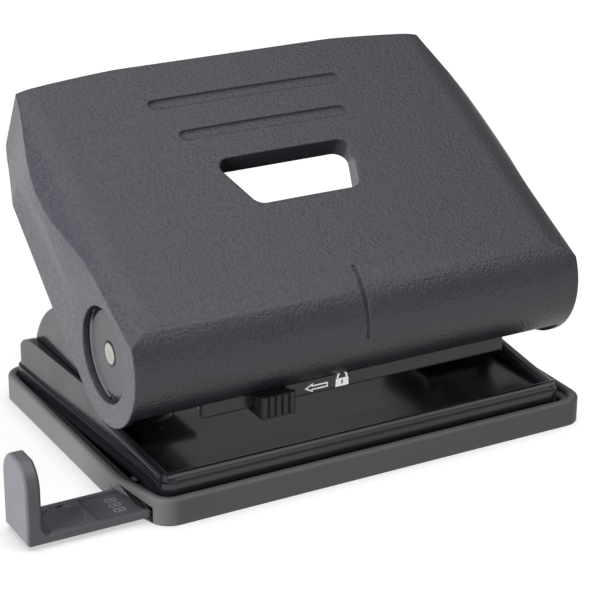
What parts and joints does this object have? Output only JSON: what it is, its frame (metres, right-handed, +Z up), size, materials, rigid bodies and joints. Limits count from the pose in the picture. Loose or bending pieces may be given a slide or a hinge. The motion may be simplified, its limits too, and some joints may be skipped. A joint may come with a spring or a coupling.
{
  "type": "two-hole desk punch",
  "caption": "Desk punch for two holes: black grained handle over a steel lever, pressed steel base, grey chip tray, sliding paper guide and a handle lock.",
  "frame": {"origin": "centre of the tray's flat underside", "axes": "+Z up, +Y to the rear, +X to the right-hand end as the user faces the front"},
  "size_m": [0.1476, 0.0841, 0.0823],
  "materials": {
    "tray_plastic": "satin moulded grey",
    "black_steel": "gloss black paint",
    "boss_plastic": "smooth satin black",
    "bright_steel": "ground",
    "plated_steel": "zinc plated",
    "cover_plastic": "leather grain",
    "lock_plastic": "satin black",
    "guide_plastic": "satin blue grey"
  },
  "bodies": {
    "tray": {"tray": "tray_plastic"},
    "guide": {"paper_guide": "guide_plastic"},
    "base": {"base_plate": "black_steel", "left_cheek": "black_steel", "right_cheek": "black_steel", "left_bush": "boss_plastic", "right_bush": "boss_plastic", "axle": "bright_steel", "left_bracket": "plated_steel", "right_bracket": "plated_steel", "bracket_rivets": "plated_steel", "cheek_rivets": "plated_steel", "left_die": "plated_steel", "right_die": "plated_steel", "left_spring": "bright_steel", "right_spring": "bright_steel"},
    "handle": {"cover": "cover_plastic", "lever": "plated_steel", "press_bar": "bright_steel", "cover_screws": "plated_steel"},
    "left_punch": {"left_pin": "bright_steel", "left_clip": "black_steel"},
    "right_punch": {"right_pin": "bright_steel", "right_clip": "black_steel"},
    "lock": {"lock_slider": "lock_plastic"}
  },
  "joints": [
    {"name": "base_lift", "type": "hinge", "parent": "tray", "child": "base", "pos_m": [0, 0.03915, 0.0065], "axis": [-1, 0, 0], "range_deg": [0, 60]},
    {"name": "handle_press", "type": "hinge", "parent": "base", "child": "handle", "pos_m": [0, -0.02, 0.0345], "axis": [-1, 0, 0], "range_deg": [0, 26], "stiffness_Nm_per_rad": 0.5, "springref_deg": -11.46},
    {"name": "left_pin_slide", "type": "slide", "parent": "base", "child": "left_punch", "axis": [0, 0, -1], "range_m": [0, 0.0072], "deforming": ["left_spring"]},
    {"name": "right_pin_slide", "type": "slide", "parent": "base", "child": "right_punch", "axis": [0, 0, -1], "range_m": [0, 0.0072], "deforming": ["right_spring"]},
    {"name": "guide_slide", "type": "slide", "parent": "tray", "child": "guide", "axis": [1, 0, 0], "range_m": [-0.045, 0.02]},
    {"name": "lock_slide", "type": "slide", "parent": "handle", "child": "lock", "axis": [-1, 0, 0], "range_m": [0, 0.008]}
  ],
  "couplings": [
    {"joint": "left_pin_slide", "follows": "handle_press", "m_per_rad": 0.015801},
    {"joint": "right_pin_slide", "follows": "handle_press", "m_per_rad": 0.015801}
  ]
}
